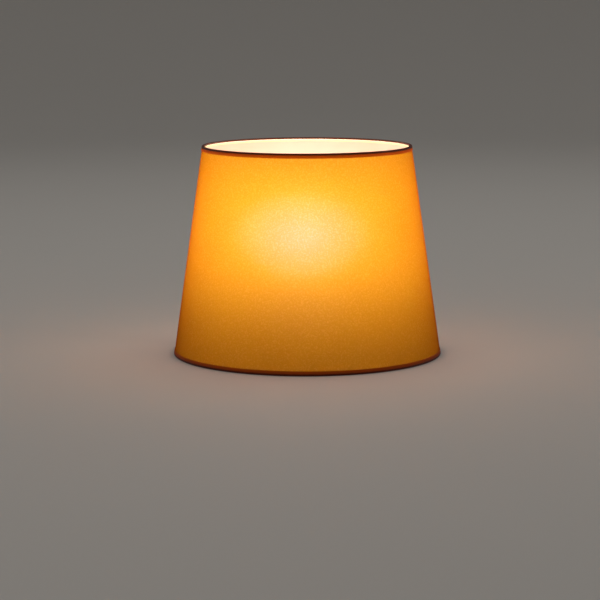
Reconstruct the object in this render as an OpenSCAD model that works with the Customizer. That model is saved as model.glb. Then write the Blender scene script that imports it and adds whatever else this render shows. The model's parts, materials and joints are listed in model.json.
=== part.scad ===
// Tapered drum lamp shade: a fabric cover on a stiff lining sheet, bound at both edges with tape
// over steel wire rings, and carried by three wire spokes on a fitter ring for the lampholder.
// Millimetres. The origin is the centre of the bottom edge, +Z is up and the front faces -Y.

/* [Overall] */
// Outside diameter across the bottom edging
bottom_d = 450; // [430:5:480]
// Outside diameter across the top edging
top_d = 350; // [330:5:370]
// Height over both edgings
shade_h = 350; // [320:5:380]

/* [Wall] */
// Thickness of the fabric cover
cover_t = 0.5; // [0.3:0.1:0.5]
// Thickness of the stiff lining sheet
liner_t = 0.4; // [0.3:0.1:0.6]
// Width of the overlap at the seam
seam_w = 12; // [8:1:16]
// Direction of the seam, counted from +X towards the back
seam_angle = 155; // [100:5:170]

/* [Edging] */
// Thickness of the edging tape
trim_t = 0.8; // [0.7:0.1:1]
// Height of the tape's lip on the outside of the wall
trim_w = 8; // [6:0.5:10]
// How far the tape turns in past the middle of the ring wire
trim_turn = 1; // [0.5:0.1:1.4]

/* [Wire frame] */
// Thickness of the ring and spoke wire
wire_d = 3; // [2.6:0.1:3.4]
// Direction of the first spoke, counted from +X towards the back
spoke_angle = 90; // [60:5:120]
// How deep the wires sink into each other at a weld
weld_sink = 0.3; // [0.2:0.1:0.5]
// Length of the flat run of a spoke at the bottom ring
spoke_foot = 14; // [10:1:20]
// Radius of a spoke's bends, at the middle of the wire
spoke_bend = 12; // [8:1:16]

/* [Fitter] */
// Height of the fitter ring's underside above the bottom edge
fitter_z = 118; // [100:1:130]
// Hole in the fitter ring, for a large lampholder
fitter_bore_d = 42; // [42]
// Outside diameter of the fitter ring
fitter_d = 62; // [58:1:66]
// Thickness of the fitter ring's sheet
fitter_t = 1.2; // [1:0.1:1.5]
// Height of the fitter ring's turned-up rim
fitter_rim_h = 3; // [2.5:0.5:4]
// Width of the seat around the hole, which rests on the lampholder's collar
seat_w = 6; // [5:0.5:6]
// How far the seat is pressed down from the rest of the ring
seat_drop = 0.5; // [0.4:0.1:0.6]

/* [Hidden] */
$fn = 96;

// The wall leans in by this much for each millimetre up.
lean = (bottom_d - top_d) / 2 / shade_h;
wall_angle = atan(lean);

// Depths into the wall, measured square to it from the outside of the edging tape.
tape_t = 0.2;
cover_in = trim_t + cover_t;
liner_in = cover_in + liner_t;
ring_tape_in = liner_in + tape_t;
lap_out = trim_t - tape_t - cover_t;

// The lap of the seam runs from the lip of one edging tape to the lip of the other.
lap_z0 = trim_w + cover_t;
lap_z1 = shade_h - trim_w - cover_t;

// The panel stops where the edging tape turns over it.
panel_z0 = trim_t;
panel_z1 = shade_h - trim_t;

wire_r = wire_d / 2;
ring_in = ring_tape_in + wire_r;
bottom_ring_z = panel_z0 + wire_r;
top_ring_z = panel_z1 - wire_r;
bottom_ring_r = wall_r(bottom_ring_z, ring_in);
top_ring_r = wall_r(top_ring_z, ring_in);
ring_tape_w = 2 * wire_d;

// Three spokes lie on the bottom ring and hold the fitter ring by its edge, clear of the
// lampholder's collar.
spoke_turn = 120;
spoke_lap = 0.5;
spoke_hold = 3;
spoke_neck = 8;
spoke_z0 = bottom_ring_z + wire_d - weld_sink;
spoke_z1 = fitter_z - wire_r + weld_sink;
spoke_r0 = bottom_ring_r + spoke_lap;
spoke_r1 = fitter_d / 2 - spoke_hold;
spoke_foot_r = bottom_ring_r - spoke_foot;
spoke_head_r = fitter_d / 2 + spoke_neck;
spoke_rise = atan2(spoke_z1 - spoke_z0, spoke_foot_r - spoke_head_r);
bend_cut = spoke_bend * tan(spoke_rise / 2);

// A bend is a hair fuller than the straight wire, and the straight runs end inside it.
bend_swell = 0.02;
bend_bite = 0.4;

// Radius of the wall at height z and the given depth into it.
function wall_r(z, depth) = bottom_d / 2 - lean * z - depth / cos(wall_angle);

// A band of the wall's cone between two depths and two heights, over part of the turn.
module wall_band(depth0, depth1, z0, z1, from = 0, turn = 360) {
    rotate([0, 0, from])
        rotate_extrude(angle = turn)
            polygon([
                [wall_r(z0, depth0), z0],
                [wall_r(z1, depth0), z1],
                [wall_r(z1, depth1), z1],
                [wall_r(z0, depth1), z0],
            ]);
}

// Angle that a width takes up around the wall at half height.
function wall_turn(width) = width / wall_r(shade_h / 2, 0) * 180 / PI;

// The cover goes once round, and its outer end steps up and laps over the start at the seam.
module fabric_cover() {
    lap = wall_turn(seam_w);
    step = wall_turn(2 * cover_t);
    color("orange")
        union() {
            wall_band(trim_t, cover_in, panel_z0, panel_z1);
            wall_band(lap_out, lap_out + cover_t, lap_z0, lap_z1, seam_angle, lap + step);
            wall_band(lap_out, cover_in, lap_z0, lap_z1, seam_angle + lap, step);
        }
}

// Double-sided tape under the lap of the seam.
module seam_tape() {
    color("ivory")
        wall_band(trim_t - tape_t, trim_t, lap_z0, lap_z1, seam_angle, wall_turn(seam_w));
}

// The stiff sheet behind the cover.
module lining_sheet() {
    color("cornsilk")
        wall_band(cover_in, liner_in, panel_z0, panel_z1);
}

// One edging tape in section: a lip on the wall and a turn over the ring wire.
// up is 1 at the bottom edge, where the lip stands up from the turn, and -1 at the top edge.
module edging_tape(edge_z, up, ring_r) {
    lip_z = edge_z + up * trim_w;
    turn_z = edge_z + up * trim_t;
    soften = trim_t / 2;
    color("sienna")
        rotate_extrude()
            polygon([
                [ring_r - trim_turn, edge_z],
                [wall_r(edge_z, soften), edge_z],
                [wall_r(edge_z + up * soften, 0), edge_z + up * soften],
                [wall_r(lip_z, 0), lip_z],
                [wall_r(lip_z, trim_t), lip_z],
                [wall_r(turn_z, trim_t), turn_z],
                [ring_r - trim_turn, turn_z],
            ]);
}

// The tape over the wide edge, which the shade stands on.
module bottom_trim() {
    edging_tape(0, 1, bottom_ring_r);
}

// The tape over the narrow edge.
module top_trim() {
    edging_tape(shade_h, -1, top_ring_r);
}

// A hoop of round wire, its ends butt-welded.
module wire_ring(radius, z) {
    color("whitesmoke")
        translate([0, 0, z])
            rotate_extrude()
                translate([radius, 0])
                    circle(r = wire_r);
}

// The hoop inside the wide edge.
module bottom_ring() {
    wire_ring(bottom_ring_r, bottom_ring_z);
}

// The hoop inside the narrow edge.
module top_ring() {
    wire_ring(top_ring_r, top_ring_z);
}

// Double-sided tape that bonds the bottom ring to the lining.
module bottom_ring_tape() {
    color("ivory")
        wall_band(liner_in, ring_tape_in, panel_z0, panel_z0 + ring_tape_w);
}

// Double-sided tape that bonds the top ring to the lining.
module top_ring_tape() {
    color("ivory")
        wall_band(liner_in, ring_tape_in, panel_z1 - ring_tape_w, panel_z1);
}

// A straight wire in the XZ plane: from a point, towards the axis, and up at an angle.
// before and after are how far it reaches past its two ends, into a bend.
module wire_run(from, angle, length, before, after) {
    translate([from[0], 0, from[1]])
        rotate([0, angle - 90, 0])
            translate([0, 0, -before])
                cylinder(r = wire_r, h = before + length + after);
}

// A bend of the spoke wire about a centre in the XZ plane, from one angle over a turn.
module wire_bend(centre, from, turn) {
    translate([centre[0], 0, centre[1]])
        rotate([90, 0, 0])
            rotate([0, 0, from])
                rotate_extrude(angle = turn)
                    translate([spoke_bend, 0])
                        circle(r = wire_r + bend_swell);
}

// One spoke, along +X: flat on the bottom ring, a rise, and flat again under the fitter ring.
module spoke(index) {
    rise_length = (spoke_foot_r - spoke_head_r) / cos(spoke_rise) - 2 * bend_cut;
    foot_end = spoke_foot_r + bend_cut;
    head_start = spoke_head_r - bend_cut;
    rise_start = [spoke_foot_r - bend_cut * cos(spoke_rise), spoke_z0 + bend_cut * sin(spoke_rise)];
    color("whitesmoke")
        rotate([0, 0, spoke_angle + index * spoke_turn])
            union() {
                wire_run([spoke_r0, spoke_z0], 0, spoke_r0 - foot_end, 0, bend_bite);
                wire_bend([foot_end, spoke_z0 + spoke_bend], -90 - spoke_rise, spoke_rise);
                wire_run(rise_start, spoke_rise, rise_length, bend_bite, bend_bite);
                wire_bend([head_start, spoke_z1 - spoke_bend], 90 - spoke_rise, spoke_rise);
                wire_run([head_start, spoke_z1], 0, head_start - spoke_r1, bend_bite, 0);
            }
}

// The fitter ring is a pressed washer with a turned-up rim and a seat stepped down around its hole.
module fitter_ring() {
    bore_r = fitter_bore_d / 2;
    edge_r = fitter_d / 2;
    seat_r = bore_r + seat_w;
    seat_z = fitter_z - seat_drop;
    color("whitesmoke")
        rotate_extrude()
            polygon([
                [bore_r, seat_z],
                [seat_r, seat_z],
                [seat_r + seat_drop, fitter_z],
                [edge_r, fitter_z],
                [edge_r, fitter_z + fitter_rim_h],
                [edge_r - fitter_t, fitter_z + fitter_rim_h],
                [edge_r - fitter_t, fitter_z + fitter_t],
                [seat_r, fitter_z + fitter_t],
                [seat_r - seat_drop, seat_z + fitter_t],
                [bore_r, seat_z + fitter_t],
            ]);
}

fabric_cover();
lining_sheet();
seam_tape();
top_trim();
bottom_trim();
top_ring();
bottom_ring();
top_ring_tape();
bottom_ring_tape();
spoke(0);  // spoke_1
spoke(1);  // spoke_2
spoke(2);  // spoke_3
fitter_ring();
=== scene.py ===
"""Looks of a tapered lamp shade: cloth cover, lining, edging tapes and painted wire frame.

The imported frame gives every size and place. Lengths are metres, the shade stands on z = 0 and
its front faces -Y. A warm lamp burns inside it, because the cloth's colour is made by light
that comes through the wall.
"""

from __future__ import annotations

import json
import logging
import math
from abc import ABC, abstractmethod
from collections.abc import Iterable, Sequence
from dataclasses import dataclass
from enum import Enum

import bmesh
import bpy
from mathutils import Euler, Matrix, Vector, noise

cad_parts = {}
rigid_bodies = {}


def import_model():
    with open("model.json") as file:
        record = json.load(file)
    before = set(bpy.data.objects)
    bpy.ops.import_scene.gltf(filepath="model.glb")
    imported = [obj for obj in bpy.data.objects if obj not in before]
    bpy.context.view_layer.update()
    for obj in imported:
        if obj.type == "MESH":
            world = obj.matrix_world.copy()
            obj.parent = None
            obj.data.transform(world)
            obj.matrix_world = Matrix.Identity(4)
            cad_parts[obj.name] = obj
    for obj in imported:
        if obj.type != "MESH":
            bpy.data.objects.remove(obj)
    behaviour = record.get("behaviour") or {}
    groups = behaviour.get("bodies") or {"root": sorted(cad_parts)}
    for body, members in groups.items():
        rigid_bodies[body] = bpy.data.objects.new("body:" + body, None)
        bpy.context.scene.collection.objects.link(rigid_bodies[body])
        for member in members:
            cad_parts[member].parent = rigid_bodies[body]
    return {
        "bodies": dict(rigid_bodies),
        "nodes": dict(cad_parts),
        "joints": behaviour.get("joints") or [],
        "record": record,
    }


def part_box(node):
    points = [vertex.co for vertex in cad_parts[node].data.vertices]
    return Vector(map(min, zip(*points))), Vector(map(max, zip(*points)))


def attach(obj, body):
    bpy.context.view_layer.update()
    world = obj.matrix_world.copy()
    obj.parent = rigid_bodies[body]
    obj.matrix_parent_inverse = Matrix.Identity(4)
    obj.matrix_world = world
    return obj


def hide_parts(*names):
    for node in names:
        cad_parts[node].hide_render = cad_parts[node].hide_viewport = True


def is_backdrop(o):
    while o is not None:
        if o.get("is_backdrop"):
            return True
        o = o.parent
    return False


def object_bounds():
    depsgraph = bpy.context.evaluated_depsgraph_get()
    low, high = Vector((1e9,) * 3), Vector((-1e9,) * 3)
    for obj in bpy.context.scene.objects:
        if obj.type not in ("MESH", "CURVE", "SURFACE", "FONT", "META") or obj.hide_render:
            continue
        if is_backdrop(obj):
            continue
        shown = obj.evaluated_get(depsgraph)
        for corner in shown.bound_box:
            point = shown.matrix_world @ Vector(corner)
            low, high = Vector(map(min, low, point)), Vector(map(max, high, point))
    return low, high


LOG = logging.getLogger("lamp_shade")
MM = 0.001

Colour = tuple[float, float, float]
Point = tuple[float, float]
Node = bpy.types.Node
Piece = bpy.types.Object
Socket = bpy.types.NodeSocket

BLACK: Colour = (0.0, 0.0, 0.0)
CREASE = math.radians(40)
LAMP_HEIGHT_SHARE = 0.56
SPOKES = ("spoke_1", "spoke_2", "spoke_3")


class Edge(Enum):
    """One of the shade's two bound edges; the value is the way up from its rim into the wall."""

    BOTTOM = 1
    TOP = -1

    @property
    def trim(self) -> str:
        """Name of the CAD node of this edge's tape."""
        return f"{self.name.lower()}_trim"

    @property
    def ring(self) -> str:
        """Name of the CAD node of this edge's wire ring."""
        return f"{self.name.lower()}_ring"


# ---- Node wiring ----


class Wiring:
    """Adds nodes to one node tree and joins them."""

    def __init__(self, tree: bpy.types.NodeTree) -> None:
        """Starts on the node tree to add to."""
        self.tree = tree

    def feed(self, socket: Socket, value: object) -> None:
        """Links a socket to another, or sets its plain value.

        Args:
            socket: the input socket.
            value: an output socket, a number, or a colour or vector.
        """
        if isinstance(value, Socket):
            self.tree.links.new(value, socket)
        elif socket.type == "RGBA" and len(value) == 3:
            socket.default_value = (*value, 1.0)
        else:
            socket.default_value = value

    def node(self, kind: str, settings: dict | None = None, inputs: dict | None = None) -> Node:
        """Adds one node.

        Args:
            kind: the node's type name.
            settings: attributes to set on it.
            inputs: sockets, by name or number, and what feeds them.

        Returns:
            The node.
        """
        made = self.tree.nodes.new(kind)
        for key, value in (settings or {}).items():
            setattr(made, key, value)
        for key, value in (inputs or {}).items():
            self.feed(made.inputs[key], value)
        return made

    def math(self, operation: str, *values: object, clamp: bool = False) -> Socket:
        """Adds a Math node on one to three numbers or sockets and returns its output."""
        settings = {"operation": operation, "use_clamp": clamp}
        return self.node("ShaderNodeMath", settings, dict(enumerate(values))).outputs[0]

    def blend(self, share: object, first: object, second: object) -> Socket:
        """Mixes two colours by the share of the second and returns the output."""
        inputs = {"Factor": share, 6: first, 7: second}
        return self.node("ShaderNodeMix", {"data_type": "RGBA"}, inputs).outputs[2]

    def ramp(
        self, value: object, low: float, high: float, out_low: float = 0.0, out_high: float = 1.0
    ) -> Socket:
        """Adds a clamped smooth step from (low, out_low) to (high, out_high)."""
        inputs = {0: value, 1: low, 2: high, 3: out_low, 4: out_high}
        return self.node("ShaderNodeMapRange", {"interpolation_type": "SMOOTHSTEP"}, inputs).outputs[0]

    def noise(self, place: object, scale: object, detail: float, roughness: float) -> Socket:
        """Adds a cloudy 3D noise and returns its value."""
        inputs = {"Vector": place, "Scale": scale, "Detail": detail, "Roughness": roughness}
        return self.node("ShaderNodeTexNoise", {"noise_dimensions": "3D"}, inputs).outputs["Fac"]

    def shader(self, kind: str, inputs: dict) -> Socket:
        """Adds a shader node by the last part of its type name and returns its output."""
        return self.node(f"ShaderNodeBsdf{kind}", None, inputs).outputs[0]

    def bump(self, height: object, strength: float, distance: float) -> Socket:
        """Adds a Bump node and returns its normal."""
        inputs = {"Strength": strength, "Distance": distance, "Height": height}
        return self.node("ShaderNodeBump", None, inputs).outputs[0]

    def mix_shaders(self, share: object, first: object, second: object) -> Socket:
        """Mixes two shaders by the share of the second and returns the output."""
        return self.node("ShaderNodeMixShader", None, {0: share, 1: first, 2: second}).outputs[0]


# ---- Effects that several materials share ----


class Effect(ABC):
    """A shader node group that gives masks, values or colours, built once."""

    name: str
    inputs: tuple[tuple[str, str, float], ...]
    outputs: tuple[tuple[str, str], ...]

    def tree(self) -> bpy.types.NodeTree:
        """Returns the group's tree, and builds it the first time."""
        found = bpy.data.node_groups.get(self.name)
        if found is not None:
            return found
        tree = bpy.data.node_groups.new(self.name, "ShaderNodeTree")
        for label, kind, start in self.inputs:
            socket = tree.interface.new_socket(label, in_out="INPUT", socket_type=kind)
            if kind == "NodeSocketFloat":
                socket.default_value = start
        for label, kind in self.outputs:
            tree.interface.new_socket(label, in_out="OUTPUT", socket_type=kind)
        wiring = Wiring(tree)
        self.fill(wiring, wiring.node("NodeGroupInput"), wiring.node("NodeGroupOutput"))
        return tree

    def place(self, wiring: Wiring, **values: object) -> Node:
        """Puts the group in a material.

        Args:
            wiring: the material's wiring.
            values: inputs by name, with _ for a space.

        Returns:
            The group node.
        """
        made = wiring.node("ShaderNodeGroup", {"node_tree": self.tree()})
        for key, value in values.items():
            wiring.feed(made.inputs[key.replace("_", " ")], value)
        return made

    @abstractmethod
    def fill(self, wiring: Wiring, given: Node, out: Node) -> None:
        """Wires the inside of the group.

        Args:
            wiring: the group's wiring.
            given: the group's input node.
            out: the group's output node.
        """


class PlainWeave(Effect):
    """Threads that pass over and under each other, with slubs, on coordinates in metres."""

    name = "plain weave"
    inputs = (
        ("Cloth", "NodeSocketVector", 0.0),
        ("Pitch", "NodeSocketFloat", 0.8 * MM),
        ("Slub Length", "NodeSocketFloat", 18 * MM),
    )
    outputs = (
        ("Height", "NodeSocketFloat"),
        ("Gap", "NodeSocketFloat"),
        ("Thread Tone", "NodeSocketFloat"),
    )

    def fill(self, wiring: Wiring, given: Node, out: Node) -> None:
        """Wires warp, weft, the over-and-under checker and the tone of each thread.

        Args:
            wiring: the group's wiring.
            given: the group's input node.
            out: the group's output node.
        """
        at = wiring.node("ShaderNodeSeparateXYZ", None, {0: given.outputs["Cloth"]})
        crowns, counts, tones = [], [], []
        for across, along in ((0, 1), (1, 0)):
            place = wiring.math("DIVIDE", at.outputs[across], given.outputs["Pitch"])
            counts.append(wiring.math("FLOOR", place))
            part = wiring.math("MULTIPLY", wiring.math("FRACT", place), math.pi)
            crowns.append(wiring.math("SINE", part))
            run = wiring.math("DIVIDE", at.outputs[along], given.outputs["Slub Length"])
            key = wiring.node("ShaderNodeCombineXYZ", None, {0: counts[-1], 1: run, 2: float(across)})
            tones.append(wiring.noise(key.outputs[0], 1.0, 2.0, 0.6))
        over = wiring.math("PINGPONG", wiring.math("ADD", counts[0], counts[1]), 1.0)
        warp = wiring.math("MULTIPLY", crowns[0], wiring.math("MULTIPLY_ADD", crowns[1], 0.45, 0.55))
        weft = wiring.math("MULTIPLY", crowns[1], wiring.math("MULTIPLY_ADD", crowns[0], 0.45, 0.55))
        top = wiring.node("ShaderNodeMix", {"data_type": "FLOAT"}, {0: over, 2: warp, 3: weft})
        seen = {0: over, 2: tones[0], 3: tones[1]}
        shown = wiring.node("ShaderNodeMix", {"data_type": "FLOAT"}, seen)
        full = wiring.math("MULTIPLY_ADD", shown.outputs[0], 0.9, 0.55)
        gaps = [wiring.math("SUBTRACT", 1.0, crown) for crown in crowns]
        gap = wiring.math("MULTIPLY", gaps[0], gaps[1])
        wiring.feed(out.inputs["Height"], wiring.math("MULTIPLY", top.outputs[0], full))
        wiring.feed(out.inputs["Gap"], gap)
        wiring.feed(out.inputs["Thread Tone"], shown.outputs[0])


class SoftDrift(Effect):
    """Cloudy variation at one size, as in dye, paint or film."""

    name = "soft drift"
    inputs = (
        ("Place", "NodeSocketVector", 0.0),
        ("Size", "NodeSocketFloat", 0.05),
        ("Contrast", "NodeSocketFloat", 1.0),
    )
    outputs = (("Drift", "NodeSocketFloat"),)

    def fill(self, wiring: Wiring, given: Node, out: Node) -> None:
        """Wires one noise, stretched about its middle by the contrast.

        Args:
            wiring: the group's wiring.
            given: the group's input node.
            out: the group's output node.
        """
        scale = wiring.math("DIVIDE", 1.0, given.outputs["Size"])
        cloud = wiring.noise(given.outputs["Place"], scale, 3.0, 0.55)
        centred = wiring.math("SUBTRACT", cloud, 0.5)
        drift = wiring.math("MULTIPLY_ADD", centred, given.outputs["Contrast"], 0.5)
        held = wiring.math("MAXIMUM", wiring.math("MINIMUM", drift, 1.0), 0.0)
        wiring.feed(out.inputs["Drift"], held)


class SettledDust(Effect):
    """Dust on what faces up, broken into specks."""

    name = "settled dust"
    inputs = (
        ("Place", "NodeSocketVector", 0.0),
        ("Speck Size", "NodeSocketFloat", 1.5 * MM),
        ("Amount", "NodeSocketFloat", 0.3),
    )
    outputs = (("Dust", "NodeSocketFloat"),)

    def fill(self, wiring: Wiring, given: Node, out: Node) -> None:
        """Wires the upward mask and the specks.

        Args:
            wiring: the group's wiring.
            given: the group's input node.
            out: the group's output node.
        """
        facing = wiring.node("ShaderNodeNewGeometry")
        up = wiring.node("ShaderNodeSeparateXYZ", None, {0: facing.outputs["Normal"]})
        lying = wiring.ramp(up.outputs[2], 0.25, 0.95)
        scale = wiring.math("DIVIDE", 1.0, given.outputs["Speck Size"])
        broken = wiring.ramp(wiring.noise(given.outputs["Place"], scale, 4.0, 0.7), 0.42, 0.68)
        covered = wiring.math("MULTIPLY", lying, broken)
        wiring.feed(out.inputs["Dust"], wiring.math("MULTIPLY", covered, given.outputs["Amount"]))


class RubbedEdge(Effect):
    """Wear along proud edges, broken up by a fine noise."""

    name = "rubbed edge"
    inputs = (
        ("Place", "NodeSocketVector", 0.0),
        ("Breakup Size", "NodeSocketFloat", 2.5 * MM),
        ("Amount", "NodeSocketFloat", 0.5),
    )
    outputs = (("Wear", "NodeSocketFloat"),)

    def fill(self, wiring: Wiring, given: Node, out: Node) -> None:
        """Wires pointiness and its breakup.

        Args:
            wiring: the group's wiring.
            given: the group's input node.
            out: the group's output node.
        """
        shape = wiring.node("ShaderNodeNewGeometry")
        proud = wiring.ramp(shape.outputs["Pointiness"], 0.53, 0.62)
        scale = wiring.math("DIVIDE", 1.0, given.outputs["Breakup Size"])
        broken = wiring.ramp(wiring.noise(given.outputs["Place"], scale, 5.0, 0.65), 0.5, 0.62)
        worn = wiring.math("MULTIPLY", proud, broken)
        wiring.feed(out.inputs["Wear"], wiring.math("MULTIPLY", worn, given.outputs["Amount"]))


# ---- Finishes ----


@dataclass(frozen=True)
class Finish(ABC):
    """A material's values; each kind of finish wires its own nodes."""

    name: str

    def material(self) -> bpy.types.Material:
        """Returns the material, and builds it the first time."""
        found = bpy.data.materials.get(self.name)
        if found is not None:
            return found
        made = bpy.data.materials.new(self.name)
        made.use_nodes = True
        made.node_tree.nodes.clear()
        wiring = Wiring(made.node_tree)
        surface = self.surface(wiring)
        wiring.node("ShaderNodeOutputMaterial", None, {"Surface": surface})
        return made

    @abstractmethod
    def surface(self, wiring: Wiring) -> Socket:
        """Wires the finish.

        Args:
            wiring: the material's wiring.

        Returns:
            The socket of the finished shader.
        """

    @staticmethod
    def place(wiring: Wiring) -> Socket:
        """Returns the object's own coordinates, in metres."""
        return wiring.node("ShaderNodeTexCoord").outputs["Object"]

    @staticmethod
    def lets_lamp_through(wiring: Wiring, shader: Socket, tint: Colour) -> Socket:
        """Lets lamplight pass a thin wall, tinted, so that the face behind it is lit.

        Args:
            wiring: the material's wiring.
            shader: the wall's own shader.
            tint: what one face leaves of the light.

        Returns:
            The socket of the mixed shader.
        """
        ray = wiring.node("ShaderNodeLightPath")
        clear = wiring.shader("Transparent", {"Color": tint})
        return wiring.mix_shaders(ray.outputs["Is Shadow Ray"], shader, clear)


@dataclass(frozen=True)
class CoverCloth(Finish):
    """Dyed plain-weave cloth that glows with the lamp behind it, with painted shade that darkens it
    where the wall is seen edge-on.
    """

    name: str = "amber cover cloth"
    dye_deep: Colour = (0.45, 0.16, 0.008)
    dye_pale: Colour = (0.60, 0.26, 0.022)
    glow_deep: Colour = (0.82, 0.43, 0.011)
    glow_pale: Colour = (0.96, 0.61, 0.030)
    beam_wide: Colour = (1.0, 0.70, 0.07)
    beam_thin: Colour = (0.72, 0.82, 1.0)
    # limb is the dim colour of painted shade that the glow turns to where the wall is seen edge-on;
    # limb_power sets how fast it sets in.
    limb: Colour = (0.22, 0.045, 0.002)
    lamp_tint: Colour = (0.80, 0.70, 0.74)
    pitch: float = 0.8 * MM
    thread_depth: float = 0.25 * MM
    slub_length: float = 22 * MM
    mottle_size: float = 5 * MM
    drift_size: float = 90 * MM
    roughness: float = 0.85
    specular: float = 0.12
    sheen: float = 0.06
    sheen_tint: Colour = (1.0, 0.55, 0.18)
    translucent_share: float = 0.60
    beam_share: float = 0.28
    thin_beam_share: float = 0.72
    pinhole_size: float = 2.4 * MM
    open_between: Point = (0.45, 0.95)
    closed_share: float = 0.5
    wide_index: float = 2.0
    thin_index: float = 1.5
    thin_roughness: float = 0.53
    limb_power: float = 2.4

    def surface(self, wiring: Wiring) -> Socket:
        """Wires dye, weave, glow, the two beams of light that pass the weave, and painted shade
        towards the outline.

        Args:
            wiring: the material's wiring.

        Returns:
            The socket of the finished shader.
        """
        cloth = wiring.node("ShaderNodeUVMap").outputs["UV"]
        place = self.place(wiring)
        weave = PlainWeave().place(wiring, Cloth=cloth, Pitch=self.pitch, Slub_Length=self.slub_length)
        mottle = SoftDrift().place(wiring, Place=place, Size=self.mottle_size, Contrast=1.6)
        drift = SoftDrift().place(wiring, Place=place, Size=self.drift_size, Contrast=1.3)
        tone = wiring.math("MULTIPLY_ADD", weave.outputs["Thread Tone"], 0.9, -0.12)
        tone = wiring.math("MULTIPLY_ADD", mottle.outputs["Drift"], 0.16, tone)
        tone = wiring.math("MULTIPLY_ADD", drift.outputs["Drift"], 0.3, tone, clamp=True)
        normal = wiring.bump(weave.outputs["Height"], 0.5, self.thread_depth)
        face = wiring.shader(
            "Principled",
            {
                "Base Color": wiring.blend(tone, self.dye_deep, self.dye_pale),
                "Roughness": self.roughness,
                "Specular IOR Level": self.specular,
                "Sheen Weight": self.sheen,
                "Sheen Roughness": 0.45,
                "Sheen Tint": self.sheen_tint,
                "Normal": normal,
            },
        )
        glow = wiring.shader(
            "Translucent",
            {"Color": wiring.blend(tone, self.glow_deep, self.glow_pale), "Normal": normal},
        )
        lit = wiring.mix_shaders(self.translucent_share, face, glow)
        loose = SoftDrift().place(wiring, Place=place, Size=self.pinhole_size, Contrast=2.4)
        open_weave = wiring.math("MULTIPLY_ADD", weave.outputs["Gap"], 0.25, loose.outputs["Drift"])
        pinholes = wiring.ramp(open_weave, *self.open_between, self.closed_share, 1.0)
        wide = wiring.shader(
            "Refraction",
            {
                "Color": wiring.blend(tone, self.glow_pale, self.beam_wide),
                "Roughness": 1.0,
                "IOR": self.wide_index,
            },
        )
        thin = wiring.shader(
            "Refraction",
            {
                "Color": wiring.blend(pinholes, BLACK, self.beam_thin),
                "Roughness": self.thin_roughness,
                "IOR": self.thin_index,
            },
        )
        beams = wiring.mix_shaders(self.thin_beam_share, wide, thin)
        lit = wiring.mix_shaders(self.beam_share, lit, beams)
        # Painted shade: towards the outline, where the wall is seen edge-on, the facing angle mixes
        # the glow into a dim translucent colour.
        facing = wiring.node("ShaderNodeLayerWeight", None, {"Blend": 0.5}).outputs["Facing"]
        limb_shade_share = wiring.math("POWER", facing, self.limb_power)
        painted_limb_shade = wiring.shader("Translucent", {"Color": self.limb})
        lit = wiring.mix_shaders(limb_shade_share, lit, painted_limb_shade)
        return self.lets_lamp_through(wiring, lit, self.lamp_tint)


@dataclass(frozen=True)
class LiningFilm(Finish):
    """Cream-white stiff sheet with a satin face."""

    name: str = "cream lining film"
    face: Colour = (0.70, 0.53, 0.53)
    face_warm: Colour = (0.66, 0.48, 0.45)
    through: Colour = (0.85, 0.78, 0.62)
    translucent_share: float = 0.5
    lamp_tint: Colour = (0.78, 0.765, 0.745)
    dust: Colour = (0.36, 0.33, 0.28)

    def surface(self, wiring: Wiring) -> Socket:
        """Wires the sheet's drift, its fine orange-peel and a little dust.

        Args:
            wiring: the material's wiring.

        Returns:
            The socket of the finished shader.
        """
        place = self.place(wiring)
        drift = SoftDrift().place(wiring, Place=place, Size=70 * MM, Contrast=1.5)
        peel = SoftDrift().place(wiring, Place=place, Size=1.2 * MM, Contrast=1.0)
        dust = SettledDust().place(wiring, Place=place, Speck_Size=1.4 * MM, Amount=0.35)
        colour = wiring.blend(drift.outputs["Drift"], self.face, self.face_warm)
        colour = wiring.blend(dust.outputs["Dust"], colour, self.dust)
        normal = wiring.bump(peel.outputs["Drift"], 0.12, 0.1 * MM)
        rough = wiring.math("MULTIPLY_ADD", peel.outputs["Drift"], 0.2, 0.38)
        sheet = wiring.shader(
            "Principled",
            {"Base Color": colour, "Roughness": rough, "Specular IOR Level": 0.4, "Normal": normal},
        )
        through = wiring.shader("Translucent", {"Color": self.through})
        lit = wiring.mix_shaders(self.translucent_share, sheet, through)
        return self.lets_lamp_through(wiring, lit, self.lamp_tint)


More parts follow.
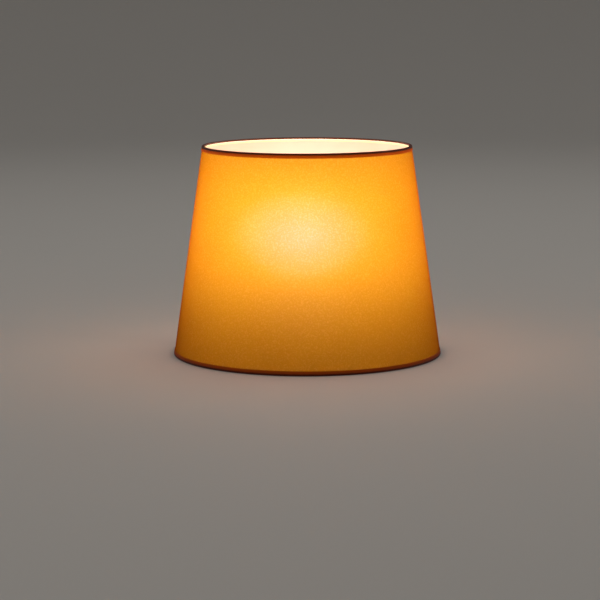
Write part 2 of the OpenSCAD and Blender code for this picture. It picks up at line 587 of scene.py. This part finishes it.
@dataclass(frozen=True)
class EdgingCloth(Finish):
    """Rust-brown bias tape: a fine weave laid askew, with a painted shadow of the wire ring along the
    rim.
    """

    name: str = "rust edging cloth"
    dye_deep: Colour = (0.085, 0.013, 0.003)
    dye_pale: Colour = (0.17, 0.034, 0.009)
    dye_rubbed: Colour = (0.26, 0.08, 0.03)
    glow: Colour = (0.80, 0.34, 0.030)
    lamp_tint: Colour = (0.50, 0.38, 0.20)
    translucent_share: float = 0.5
    # The next three values set the painted shadow of the wire ring: the glow left where the tape lies
    # over the wire, and where along the tape it sets in.
    wire_shadow_share: float = 0.04
    wire_shadow_from: float = 4.3 * MM
    wire_shadow_full: float = 5.4 * MM
    pitch: float = 0.5 * MM
    thread_depth: float = 0.22 * MM
    lay: float = math.radians(45)

    def surface(self, wiring: Wiring) -> Socket:
        """Wires the askew weave, its dye, what little light comes through, and the painted shadow of
        the wire where the tape lies over it.

        Args:
            wiring: the material's wiring.

        Returns:
            The socket of the finished shader.
        """
        flat = wiring.node("ShaderNodeUVMap").outputs["UV"]
        turned = {"Vector": flat, "Rotation": (0.0, 0.0, self.lay)}
        askew = wiring.node("ShaderNodeMapping", {"vector_type": "POINT"}, turned).outputs[0]
        place = self.place(wiring)
        weave = PlainWeave().place(wiring, Cloth=askew, Pitch=self.pitch, Slub_Length=6 * MM)
        drift = SoftDrift().place(wiring, Place=place, Size=14 * MM, Contrast=1.6)
        rubbed = RubbedEdge().place(wiring, Place=place, Breakup_Size=1.6 * MM, Amount=0.35)
        tone = wiring.math("MULTIPLY_ADD", drift.outputs["Drift"], 0.5, -0.1)
        tone = wiring.math("MULTIPLY_ADD", weave.outputs["Thread Tone"], 0.7, tone, clamp=True)
        dyed = wiring.blend(tone, self.dye_deep, self.dye_pale)
        faded = wiring.blend(rubbed.outputs["Wear"], dyed, self.dye_rubbed)
        normal = wiring.bump(weave.outputs["Height"], 0.7, self.thread_depth)
        cloth = wiring.shader(
            "Principled",
            {
                "Base Color": faded,
                "Roughness": 0.88,
                "Specular IOR Level": 0.2,
                "Sheen Weight": 0.2,
                "Sheen Roughness": 0.5,
                "Normal": normal,
            },
        )
        glow = wiring.shader("Translucent", {"Color": self.glow})
        # Painted shadow: from a few millimetres short of the fold, where the tape lies over the wire
        # ring, the glow is cut to a trace, so the dark dye stands for the wire's shadow.
        across = wiring.node("ShaderNodeSeparateXYZ", None, {0: flat}).outputs[1]
        share = wiring.ramp(
            across, self.wire_shadow_from, self.wire_shadow_full, self.translucent_share, self.wire_shadow_share
        )
        lit = wiring.mix_shaders(share, cloth, glow)
        return self.lets_lamp_through(wiring, lit, self.lamp_tint)


@dataclass(frozen=True)
class PaintedWire(Finish):
    """White powder coat on steel: fine orange-peel, dust on top, bare metal at rubbed spots."""

    name: str = "white powder coat"
    paint: Colour = (0.74, 0.73, 0.69)
    paint_warm: Colour = (0.66, 0.62, 0.53)
    dust: Colour = (0.30, 0.27, 0.23)
    steel: Colour = (0.34, 0.33, 0.32)

    def surface(self, wiring: Wiring) -> Socket:
        """Wires paint, dust and wear into one Principled shader.

        Args:
            wiring: the material's wiring.

        Returns:
            The socket of the finished shader.
        """
        place = self.place(wiring)
        drift = SoftDrift().place(wiring, Place=place, Size=25 * MM, Contrast=1.5)
        peel = SoftDrift().place(wiring, Place=place, Size=0.7 * MM, Contrast=1.4)
        dust = SettledDust().place(wiring, Place=place, Speck_Size=0.9 * MM, Amount=0.5)
        worn = RubbedEdge().place(wiring, Place=place, Breakup_Size=1.8 * MM, Amount=0.8)
        colour = wiring.blend(drift.outputs["Drift"], self.paint, self.paint_warm)
        colour = wiring.blend(worn.outputs["Wear"], colour, self.steel)
        colour = wiring.blend(dust.outputs["Dust"], colour, self.dust)
        rough = wiring.math("MULTIPLY_ADD", peel.outputs["Drift"], 0.15, 0.33)
        rough = wiring.math("MULTIPLY_ADD", dust.outputs["Dust"], 0.6, rough, clamp=True)
        normal = wiring.bump(peel.outputs["Drift"], 0.35, 0.06 * MM)
        coated = wiring.shader(
            "Principled",
            {
                "Base Color": colour,
                "Roughness": rough,
                "Metallic": wiring.math("MULTIPLY", worn.outputs["Wear"], 0.8),
                "Specular IOR Level": 0.5,
                "Normal": normal,
            },
        )
        return coated


@dataclass(frozen=True)
class BondingTape(Finish):
    """Clear double-sided tape gone slightly yellow, with trapped air."""

    name: str = "bonding tape"
    film: Colour = (0.72, 0.64, 0.45)
    bubble: Colour = (0.82, 0.78, 0.66)
    through: Colour = (0.85, 0.74, 0.50)
    translucent_share: float = 0.45
    lamp_tint: Colour = (0.88, 0.84, 0.74)

    def surface(self, wiring: Wiring) -> Socket:
        """Wires the film, its air pockets and its gloss.

        Args:
            wiring: the material's wiring.

        Returns:
            The socket of the finished shader.
        """
        place = self.place(wiring)
        pockets = SoftDrift().place(wiring, Place=place, Size=2.2 * MM, Contrast=2.6)
        drift = SoftDrift().place(wiring, Place=place, Size=30 * MM, Contrast=1.4)
        share = wiring.math("MULTIPLY", pockets.outputs["Drift"], drift.outputs["Drift"])
        colour = wiring.blend(share, self.film, self.bubble)
        normal = wiring.bump(pockets.outputs["Drift"], 0.25, 0.1 * MM)
        film = wiring.shader(
            "Principled",
            {
                "Base Color": colour,
                "Roughness": wiring.math("MULTIPLY_ADD", pockets.outputs["Drift"], 0.25, 0.22),
                "Normal": normal,
            },
        )
        through = wiring.shader("Translucent", {"Color": self.through})
        lit = wiring.mix_shaders(self.translucent_share, film, through)
        return self.lets_lamp_through(wiring, lit, self.lamp_tint)


@dataclass(frozen=True)
class StudioPaper(Finish):
    """Pale matt paper of the studio sweep."""

    name: str = "studio paper"
    tone: Colour = (0.62, 0.59, 0.55)

    def surface(self, wiring: Wiring) -> Socket:
        """Wires a plain matt surface with a faint drift.

        Args:
            wiring: the material's wiring.

        Returns:
            The socket of the finished shader.
        """
        drift = SoftDrift().place(wiring, Place=self.place(wiring), Size=1.4, Contrast=0.5)
        darker = tuple(0.93 * part for part in self.tone)
        colour = wiring.blend(drift.outputs["Drift"], self.tone, darker)
        paper = wiring.shader("Principled", {"Base Color": colour, "Roughness": 0.9})
        return paper


# ---- Geometry ----


@dataclass(frozen=True)
class WallCone:
    """The outside of the shade's wall as a cone, read from the edging tapes in the frame."""

    low_z: float
    low_r: float
    high_z: float
    high_r: float

    @classmethod
    def from_frame(cls, nodes: dict[str, Piece]) -> WallCone:
        """Reads the cone from the widest ring of each edging tape.

        Args:
            nodes: the frame's CAD nodes by name.

        Returns:
            The cone.
        """
        rims = []
        for edge in (Edge.BOTTOM, Edge.TOP):
            points = [v.co for v in nodes[edge.trim].data.vertices]
            widest = max(points, key=lambda p: p.xy.length)
            rims.append((widest.z, widest.xy.length))
        return cls(*rims[0], *rims[1])

    @property
    def lean(self) -> float:
        """How far the wall leans in for each metre up."""
        return (self.low_r - self.high_r) / (self.high_z - self.low_z)

    @property
    def tilt(self) -> float:
        """The wall's angle from upright, in radians."""
        return math.atan(self.lean)

    def radius(self, z: float, depth: float = 0.0) -> float:
        """Returns the wall's radius at a height, and at a depth measured square to the wall."""
        return self.low_r - self.lean * (z - self.low_z) - depth / math.cos(self.tilt)

    def unrolled(self, z: float, turn: float) -> Point:
        """Returns where a point of the wall lies when the wall is cut open and laid flat.

        Args:
            z: height.
            turn: angle round the shade from the middle of the cloth.

        Returns:
            The place on the flat cloth.
        """
        reach = self.radius(z) / math.sin(self.tilt)
        fan = turn * math.sin(self.tilt)
        return reach * math.sin(fan), reach * math.cos(fan)


@dataclass(frozen=True)
class Station:
    """One cross-section of a swept sheet: its angle, its outline, and its flat place."""

    angle: float
    outline: Sequence[Point]
    flat: Sequence[Point]


def swept_shell(name: str, stations: Sequence[Station]) -> Piece:
    """Joins cross-sections into one closed shell round the axis, with caps at both ends.

    Args:
        name: the object's name.
        stations: the cross-sections, each with the same number of points, in turning order.

    Returns:
        The new object.
    """
    mesh = bmesh.new()
    layer = mesh.loops.layers.uv.new("flat")
    rows = []
    for station in stations:
        way = Vector((math.cos(station.angle), math.sin(station.angle), 0.0))
        rows.append([mesh.verts.new((way.x * r, way.y * r, z)) for r, z in station.outline])
    count = len(rows[0])

    def patch(corners: Sequence[tuple[int, int]]) -> None:
        """Adds one face through the given (station, point) corners."""
        face = mesh.faces.new([rows[i][j % count] for i, j in corners])
        for loop, (i, j) in zip(face.loops, corners, strict=True):
            flat = stations[i].flat
            loop[layer].uv = flat[j % count] if j < len(flat) else flat[-1]
        face.smooth = True

    for i in range(len(rows) - 1):
        for j in range(count):
            patch([(i, j), (i + 1, j), (i + 1, j + 1), (i, j + 1)])
    half = count // 2
    for i, inward in ((0, False), (len(rows) - 1, True)):
        for j in range(half - 1):
            ring = [(i, j), (i, j + 1), (i, count - 2 - j), (i, count - 1 - j)]
            patch(ring[::-1] if inward else ring)
    bmesh.ops.recalc_face_normals(mesh, faces=mesh.faces)
    made = finish_mesh(name, mesh)
    made.data.set_sharp_from_angle(angle=CREASE)
    return made


def put_in_scene(name: str, data: bpy.types.ID) -> Piece:
    """Makes an object of a mesh, light or camera and puts it in the scene.

    Args:
        name: the object's name.
        data: the mesh, light or camera.

    Returns:
        The new object.
    """
    made = bpy.data.objects.new(name, data)
    bpy.context.scene.collection.objects.link(made)
    return made


def finish_mesh(name: str, mesh: bmesh.types.BMesh) -> Piece:
    """Turns a mesh into an object of the scene, and frees it.

    Args:
        name: the object's name.
        mesh: the mesh.

    Returns:
        The new object.
    """
    data = bpy.data.meshes.new(name)
    mesh.to_mesh(data)
    mesh.free()
    return put_in_scene(name, data)


def steps(first: float, last: float, count: int) -> list[float]:
    """Returns count + 1 evenly spaced numbers from first to last."""
    return [first + (last - first) * i / count for i in range(count + 1)]


def smooth(low: float, high: float, value: float) -> float:
    """Returns a smooth step from 0 at low to 1 at high."""
    part = min(max((value - low) / (high - low), 0.0), 1.0)
    return part * part * (3 - 2 * part)


def wear(piece: Piece, finish: Finish) -> None:
    """Gives a piece its finish as its only material.

    Args:
        piece: the object.
        finish: its finish.
    """
    piece.data.materials.clear()
    piece.data.materials.append(finish.material())


# ---- Sub-assemblies ----


@dataclass
class CoverPanel:
    """The cloth cover: one sheet rolled once round the lining, its end lapped over its start."""

    cone: WallCone
    seam: float
    low_z: float
    high_z: float
    lap_low_z: float
    lap_high_z: float
    depth: float = 0.8 * MM
    thickness: float = 0.44 * MM
    tuck: float = 0.45 * MM
    lap: float = 12 * MM
    lap_rise: float = 0.7 * MM
    ramp: float = 16 * MM
    ripple: float = 0.22 * MM
    ripple_waves: float = 3.2
    ripple_climb: float = 5.0
    held: float = 50 * MM
    rows: int = 44
    columns: int = 320
    finish: CoverCloth = CoverCloth()

    @property
    def lap_turn(self) -> float:
        """The lap's width as an angle at half height."""
        return self.lap / self.cone.radius((self.low_z + self.high_z) / 2)

    def ripple_at(self, angle: float, z: float) -> float:
        """Returns how far the cover stands off the lining under it, and nothing at the edges.

        Args:
            angle: direction round the shade.
            z: height.

        Returns:
            The distance outwards.
        """
        free = smooth(0.0, self.held, z - self.low_z) * smooth(0.0, self.held, self.high_z - z)
        waves = self.ripple_waves
        spot = Vector((waves * math.cos(angle), waves * math.sin(angle), self.ripple_climb * z))
        return free * self.ripple * (0.5 + 0.5 * noise.noise(spot))

    def section(self, turn: float) -> Station:
        """Builds the sheet's cross-section at one turn.

        Args:
            turn: angle from the seam, up to a full turn and the lap.

        Returns:
            The cross-section.
        """
        angle = self.seam + turn
        near_seam = self.ramp / self.cone.low_r
        rise = smooth(math.tau - near_seam, math.tau, turn) * self.lap_rise
        outside, inside, flat = [], [], []
        tucked = [self.low_z, self.lap_low_z - self.tuck]
        free = steps(self.lap_low_z, self.lap_high_z, self.rows)
        for z in [*tucked, *free, self.lap_high_z + self.tuck, self.high_z]:
            lapped = self.lap_low_z <= z <= self.lap_high_z
            stand = self.ripple_at(angle, z) + (rise if lapped else 0.0)
            outside.append((self.cone.radius(z, self.depth - stand), z))
            inside.append((self.cone.radius(z, self.depth + self.thickness - stand), z))
            flat.append(self.cone.unrolled(z, turn - math.pi))
        return Station(angle, outside + inside[::-1], flat + flat[::-1])

    def build(self) -> Piece:
        """Returns:
            The cover.
        """
        turns = steps(0.0, math.tau + self.lap_turn, self.columns)
        piece = swept_shell("cover_panel", [self.section(turn) for turn in turns])
        wear(piece, self.finish)
        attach(piece, "root")
        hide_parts("fabric_cover")
        return piece

    def declare(self) -> None:
        fan = (math.tau + self.lap_turn) * math.sin(self.cone.tilt)
        outer = self.cone.radius(self.low_z) / math.sin(self.cone.tilt)
        inner = self.cone.radius(self.high_z) / math.sin(self.cone.tilt)


@dataclass
class LiningPanel:
    """The stiff lining sheet, butted at the seam with a hair of a gap."""

    cone: WallCone
    seam: float
    low_z: float
    high_z: float
    depth: float = 1.3 * MM
    thickness: float = 0.4 * MM
    butt_gap: float = 0.4 * MM
    rows: int = 30
    columns: int = 256
    finish: LiningFilm = LiningFilm()

    def section(self, turn: float) -> Station:
        """Builds the sheet's cross-section at one turn.

        Args:
            turn: angle from the seam.

        Returns:
            The cross-section.
        """
        heights = steps(self.low_z, self.high_z, self.rows)
        inner_depth = self.depth + self.thickness
        outside = [(self.cone.radius(z, self.depth), z) for z in heights]
        inside = [(self.cone.radius(z, inner_depth), z) for z in heights]
        flat = [self.cone.unrolled(z, turn - math.pi) for z in heights]
        return Station(self.seam + turn, outside + inside[::-1], flat + flat[::-1])

    def build(self) -> Piece:
        """Builds and dresses the lining.

        Returns:
            The lining.
        """
        gap_turn = self.butt_gap / self.cone.low_r
        turns = steps(gap_turn / 2, math.tau - gap_turn / 2, self.columns)
        piece = swept_shell("lining_panel", [self.section(turn) for turn in turns])
        wear(piece, self.finish)
        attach(piece, "root")
        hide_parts("lining_sheet")
        return piece


@dataclass
class EdgingTape:
    """One edge's bias tape: a lip on the wall, a fold over the rim and a turn round the wire."""

    cone: WallCone
    edge: Edge
    seam: float
    rim_z: float
    ring_r: float
    ring_z: float
    wire_r: float
    thickness: float = 0.7 * MM
    width: float = 8 * MM
    wrap: float = math.radians(105)
    lap: float = 11 * MM
    lap_rise: float = 0.45 * MM
    lip_wander: float = 0.16 * MM
    lip_waves: float = 9.0
    pucker: float = 0.07 * MM
    pucker_waves: float = 70.0
    fold: float = 1.1 * MM
    fold_from: float = math.radians(15)
    fold_to: float = math.radians(80)
    fold_rows: int = 4
    crown: float = 0.12 * MM
    wire_gap: float = 0.05 * MM
    lap_ramp: float = 8 * MM
    worn_end: float = 0.55
    lip_rows: int = 8
    wrap_rows: int = 10
    columns: int = 420
    finish: EdgingCloth = EdgingCloth()

    def centre_line(self, turn: float) -> list[Point]:
        """Returns the middle of the tape in section, from the lip's edge to the end of the wrap.

        Args:
            turn: angle from the seam.

        Returns:
            Points as (radius, height).
        """
        up = self.edge.value
        x, y = math.cos(turn), math.sin(turn)
        sway, fine = self.lip_waves, self.pucker_waves
        lip = self.width + self.lip_wander * noise.noise(Vector((sway * x, sway * y, 3.0 * up)))
        rise = self.lap_rise * smooth(math.tau - self.lap_ramp / self.ring_r, math.tau, turn)
        line = []
        for part in steps(lip, self.fold, self.lip_rows):
            crown = self.crown * math.sin(math.pi * (part - self.fold) / (lip - self.fold))
            pucker = self.pucker * noise.noise(Vector((fine * x, fine * y, part * 300)))
            z = self.rim_z + up * part
            line.append((self.cone.radius(z, self.thickness / 2 - crown - pucker - rise), z))
        fold_z = self.rim_z + up * self.fold
        fold_r = self.cone.radius(fold_z) - self.thickness / 2 + rise
        drop = self.fold - self.thickness / 2
        for part in steps(self.fold_from, self.fold_to, self.fold_rows):
            r = fold_r - (1 - math.cos(part)) * self.fold
            line.append((r, fold_z - up * math.sin(part) * drop))
        reach = self.wire_r + self.thickness / 2 + self.wire_gap
        for part in steps(math.radians(90), math.radians(90) + self.wrap, self.wrap_rows):
            r = self.ring_r + math.cos(part) * reach
            line.append((r, self.ring_z - up * math.sin(part) * reach))
        return line

    def section(self, turn: float) -> Station:
        """Thickens the centre line into the tape's cross-section.

        Args:
            turn: angle from the seam.

        Returns:
            The cross-section.
        """
        line = self.centre_line(turn)
        left, right, flat = [], [], []
        run, half = 0.0, self.thickness / 2
        for i, (r, z) in enumerate(line):
            before, after = line[max(i - 1, 0)], line[min(i + 1, len(line) - 1)]
            dr, dz = after[0] - before[0], after[1] - before[1]
            length = math.hypot(dr, dz)
            nr, nz = -dz / length, dr / length
            soft = half * (self.worn_end if i in (0, len(line) - 1) else 1.0)
            left.append((r + nr * soft, z + nz * soft))
            right.append((r - nr * soft, z - nz * soft))
            if i:
                run += math.hypot(r - line[i - 1][0], z - line[i - 1][1])
            flat.append((turn * self.ring_r, run))
        return Station(self.seam + turn, left + right[::-1], flat + flat[::-1])

    def build(self) -> Piece:
        """Returns:
            The tape.
        """
        lap_turn = self.lap / self.ring_r
        turns = steps(0.0, math.tau + lap_turn, self.columns)
        piece = swept_shell(f"{self.edge.name.lower()}_tape", [self.section(turn) for turn in turns])
        wear(piece, self.finish)
        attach(piece, "root")
        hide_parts(self.edge.trim)
        line = self.centre_line(math.pi)
        length = (math.tau + lap_turn) * self.cone.radius(self.rim_z)
        return piece


@dataclass
class WireFrame:
    """The welded frame: the CAD rings, spokes and fitter ring, with a bead at every weld."""

    nodes: dict[str, Piece]
    seam: float
    wire_r: float = 1.5 * MM
    bead_length: float = 5.5 * MM
    bead_width: float = 3.4 * MM
    weld_inset: float = 0.8 * MM
    weld_under: float = 0.2 * MM
    lumpiness: float = 0.12
    finish: PaintedWire = PaintedWire()

    def dress(self) -> None:
        """Paints every wire and the fitter ring."""
        for name in ("top_ring", "bottom_ring", *SPOKES, "fitter_ring"):
            wear(self.nodes[name], self.finish)

    def weld_places(self) -> Iterable[tuple[Vector, Vector]]:
        """Yields the place and the direction of every weld: spoke feet, spoke heads, ring butts."""
        fitter_low, fitter_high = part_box("fitter_ring")
        fitter_r = (fitter_high.x - fitter_low.x) / 2
        for name in SPOKES:
            points = [v.co for v in self.nodes[name].data.vertices]
            foot = max(points, key=lambda p: p.xy.length)
            way = Vector((foot.x, foot.y, 0.0)).normalized()
            across = Vector((-way.y, way.x, 0.0))
            low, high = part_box("bottom_ring")
            ring_r = (high.x - low.x) / 2 - self.wire_r
            yield way * ring_r + Vector((0, 0, high.z)), across
            head = Vector((0, 0, fitter_low.z - self.weld_under))
            yield way * (fitter_r - self.weld_inset) + head, across
        for edge in Edge:
            low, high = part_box(edge.ring)
            ring_r = (high.x - low.x) / 2 - self.wire_r
            way = Vector((math.cos(self.seam), math.sin(self.seam), 0.0))
            yield way * ring_r + Vector((0, 0, (low.z + high.z) / 2)), Vector((-way.y, way.x, 0.0))

    def beads(self) -> Piece:
        """Builds all weld beads as one piece of small lumpy fillets.

        Returns:
            The beads.
        """
        mesh = bmesh.new()
        for number, (place, along) in enumerate(self.weld_places()):
            lump = bmesh.ops.create_icosphere(mesh, subdivisions=3, radius=1.0)
            turn = along.to_track_quat("X", "Z").to_matrix().to_4x4()
            half = self.bead_width / 2
            size = Matrix.Diagonal((self.bead_length / 2, half, half, 1.0))
            for vert in lump["verts"]:
                lumps = noise.noise(vert.co * 2.2 + Vector((number * 7.1, 0, 0)))
                bump = 1 + self.lumpiness * lumps
                vert.co = vert.co * bump
                vert.co = Matrix.Translation(place) @ turn @ size @ vert.co
        for face in mesh.faces:
            face.smooth = True
        piece = finish_mesh("weld_beads", mesh)
        wear(piece, self.finish)
        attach(piece, "root")
        return piece


@dataclass
class BondingTapes:
    """The double-sided tapes of the seam and of both rings."""

    nodes: dict[str, Piece]
    finish: BondingTape = BondingTape()

    def dress(self) -> None:
        """Gives the three CAD tapes their film."""
        for name in ("seam_tape", "top_ring_tape", "bottom_ring_tape"):
            wear(self.nodes[name], self.finish)


# ---- Studio ----


@dataclass
class LampGlow:
    """The lamp that burns inside the shade: a warm ball of light, weaker towards its cap.

    full_from, extra_from and extra_full are how steeply a ray climbs, from -1 down to 1 up.
    """

    height: float
    power: float = 3.5
    radius: float = 0.045
    offset: float = -0.006
    colour: Colour = (1.0, 0.86, 0.66)
    down_share: float = 0.06
    full_from: float = -0.1
    up_extra: float = 0.32
    extra_from: float = 0.05
    extra_full: float = 0.65
    holder_power: float = 0.36
    holder_height: float = 0.09
    holder_radius: float = 0.03

    def build(self) -> None:
        """Adds the light."""
        data = bpy.data.lights.new("lamp_glow", "POINT")
        data.energy = self.power
        data.color = self.colour
        data.shadow_soft_size = self.radius
        data.use_nodes = True
        wiring = Wiring(data.node_tree)
        emission = data.node_tree.nodes["Emission"]
        way = wiring.node("ShaderNodeTexCoord").outputs["Normal"]
        up = wiring.node("ShaderNodeSeparateXYZ", None, {0: way}).outputs[2]
        below = wiring.ramp(up, -1.0, self.full_from, self.down_share, 1.0)
        above = wiring.ramp(up, self.extra_from, self.extra_full, 0.0, self.up_extra)
        wiring.feed(emission.inputs["Strength"], wiring.math("ADD", below, above))
        self.hang("lamp_glow", data, self.height)

    def hang(self, name: str, data: bpy.types.Light, height: float) -> None:
        """Puts a light on the lamp's axis, unseen by the camera.

        Args:
            name: the light's name.
            data: the light.
            height: how high it is.
        """
        light = put_in_scene(name, data)
        light.location = (self.offset, 0.0, height)
        light.visible_camera = False

    def build_holder_glow(self) -> None:
        """Adds the light that a pale lampholder under the bulb throws on the lower wall."""
        data = bpy.data.lights.new("holder_glow", "POINT")
        data.energy = self.holder_power
        data.color = self.colour
        data.shadow_soft_size = self.holder_radius
        self.hang("holder_glow", data, self.holder_height)


@dataclass(frozen=True)
class SoftLight:
    """A square area light: its place, its side in metres and its power in watts."""

    name: str
    place: tuple[float, float, float]
    size: float
    power: float
    colour: Colour

    def build(self, target: Vector) -> None:
        """Adds the light and points it at the target.

        Args:
            target: what the light points at.
        """
        data = bpy.data.lights.new(self.name, "AREA")
        data.size, data.energy, data.color = self.size, self.power, self.colour
        light = put_in_scene(self.name, data)
        place = Vector(self.place)
        light.location = place
        light.rotation_euler = (target - place).to_track_quat("-Z", "Y").to_euler()


@dataclass
class Studio:
    """A pale round sweep, soft lights from above and the side, and the camera.

    view_far and view_high place the camera, in the shade's bottom radii.
    """

    floor_r: float = 4.6
    sweep_r: float = 2.4
    wall_top: float = 4.2
    columns: int = 96
    paper: StudioPaper = StudioPaper()
    key: SoftLight = SoftLight("key_soft", (-1.6, -2.2, 2.6), 2.2, 6.0, (1.0, 0.97, 0.93))
    top: SoftLight = SoftLight("top_soft", (0.4, 1.2, 5.0), 5.0, 86.0, (1.0, 0.98, 0.95))
    sky: float = 0.09
    sky_colour: Colour = (0.92, 0.95, 1.0)
    lens: float = 129.1
    view_far: float = 15.93
    view_high: float = 2.81
    view_down: float = math.radians(8.62)
    view_left: float = math.radians(0.195)
    view_roll: float = math.radians(-0.15)

    def sweep(self) -> Piece:
        """Builds the floor, its curve and the wall as one revolved mesh.

        Returns:
            The sweep.
        """
        outline = [(r, 0.0) for r in steps(0.0, self.floor_r, 6)]
        for angle in steps(0.0, math.pi / 2, 12)[1:]:
            r = self.floor_r + math.sin(angle) * self.sweep_r
            outline.append((r, (1 - math.cos(angle)) * self.sweep_r))
        outline.append((self.floor_r + self.sweep_r, self.wall_top))
        mesh = bmesh.new()
        verts = [mesh.verts.new((r, 0.0, z)) for r, z in outline]
        edges = [mesh.edges.new(pair) for pair in zip(verts, verts[1:], strict=False)]
        spun = {"geom": verts + edges, "cent": (0, 0, 0), "axis": (0, 0, 1)}
        bmesh.ops.spin(mesh, **spun, angle=math.tau, steps=self.columns, use_merge=True)
        bmesh.ops.remove_doubles(mesh, verts=mesh.verts, dist=1e-5)
        for face in mesh.faces:
            face.smooth = True
        made = finish_mesh("studio_sweep", mesh)
        made.data.materials.append(self.paper.material())
        made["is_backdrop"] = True
        return made

    def lights(self, centre: Vector) -> None:
        """Adds the soft lights and the sky.

        Args:
            centre: what the lights point at.
        """
        self.key.build(centre)
        self.top.build(centre)
        world = bpy.data.worlds.new("studio_sky")
        world.use_nodes = True
        back = world.node_tree.nodes["Background"]
        back.inputs["Color"].default_value = (*self.sky_colour, 1.0)
        back.inputs["Strength"].default_value = self.sky
        bpy.context.scene.world = world

    def camera(self, bottom_r: float) -> None:
        """Adds the camera: level with the top of a floor lamp's shade, looking slightly down.

        Args:
            bottom_r: the shade's radius at the bottom, which sets the distance.
        """
        data = bpy.data.cameras.new("view")
        data.sensor_width = 36.0
        data.lens = self.lens
        made = put_in_scene("view", data)
        made.location = (0.0, -self.view_far * bottom_r, self.view_high * bottom_r)
        level = Euler((math.pi / 2 - self.view_down, 0.0, self.view_left)).to_matrix()
        made.rotation_euler = (level @ Matrix.Rotation(self.view_roll, 3, "Z")).to_euler()
        bpy.context.scene.camera = made


# ---- The whole shade ----


def seam_direction(nodes: dict[str, Piece]) -> float:
    """Returns the direction of the seam's start, from the seam tape in the frame."""
    low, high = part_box("seam_tape")
    middle = math.atan2((low.y + high.y) / 2, (low.x + high.x) / 2)
    angles = [math.atan2(v.co.y, v.co.x) for v in nodes["seam_tape"].data.vertices]
    return min(angles, key=lambda angle: angle - middle)


def ring_line(nodes: dict[str, Piece], name: str) -> tuple[float, float, float]:
    """Returns a wire ring's radius, its height and its wire's radius.

    Args:
        nodes: the frame's CAD nodes by name.
        name: the ring's node.
    """
    reach = [v.co.xy.length for v in nodes[name].data.vertices]
    low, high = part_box(name)
    return (min(reach) + max(reach)) / 2, (low.z + high.z) / 2, (high.z - low.z) / 2


def build_shade(nodes: dict[str, Piece]) -> list[Piece]:
    """Builds every piece of the shade round the frame.

    Args:
        nodes: the frame's CAD nodes by name.

    Returns:
        The new pieces.
    """
    cone = WallCone.from_frame(nodes)
    seam = seam_direction(nodes)
    cover_low, cover_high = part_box("fabric_cover")
    lining = LiningPanel(cone, seam, cover_low.z, cover_high.z).build()
    lap_low, lap_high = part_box("seam_tape")
    cover = CoverPanel(cone, seam, cover_low.z, cover_high.z, lap_low.z, lap_high.z)
    sheet = cover.build()
    cover.declare()
    made = [lining, sheet]
    for edge in Edge:
        low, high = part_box(edge.trim)
        rim = low.z if edge is Edge.BOTTOM else high.z
        made.append(EdgingTape(cone, edge, seam, rim, *ring_line(nodes, edge.ring)).build())
    frame = WireFrame(nodes, seam)
    frame.dress()
    made.append(frame.beads())
    BondingTapes(nodes).dress()
    return made


def main() -> None:
    """Loads the frame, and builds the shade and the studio."""
    logging.basicConfig(level=logging.INFO, format="%(name)s: %(message)s")
    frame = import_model()
    cad_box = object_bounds()
    low, high = cad_box
    bottom_r = (high.x - low.x) / 2
    studio = Studio()
    studio.camera(bottom_r)
    for piece in build_shade(frame["nodes"]):
        LOG.info("%s: %d faces", piece.name, len(piece.data.polygons))
    studio.sweep()
    studio.lights((low + high) / 2)
    lamp = LampGlow(height=LAMP_HEIGHT_SHARE * high.z)
    lamp.build()
    lamp.build_holder_glow()
    bpy.context.scene.view_settings.view_transform = "Standard"


if __name__ == "__main__":
    main()
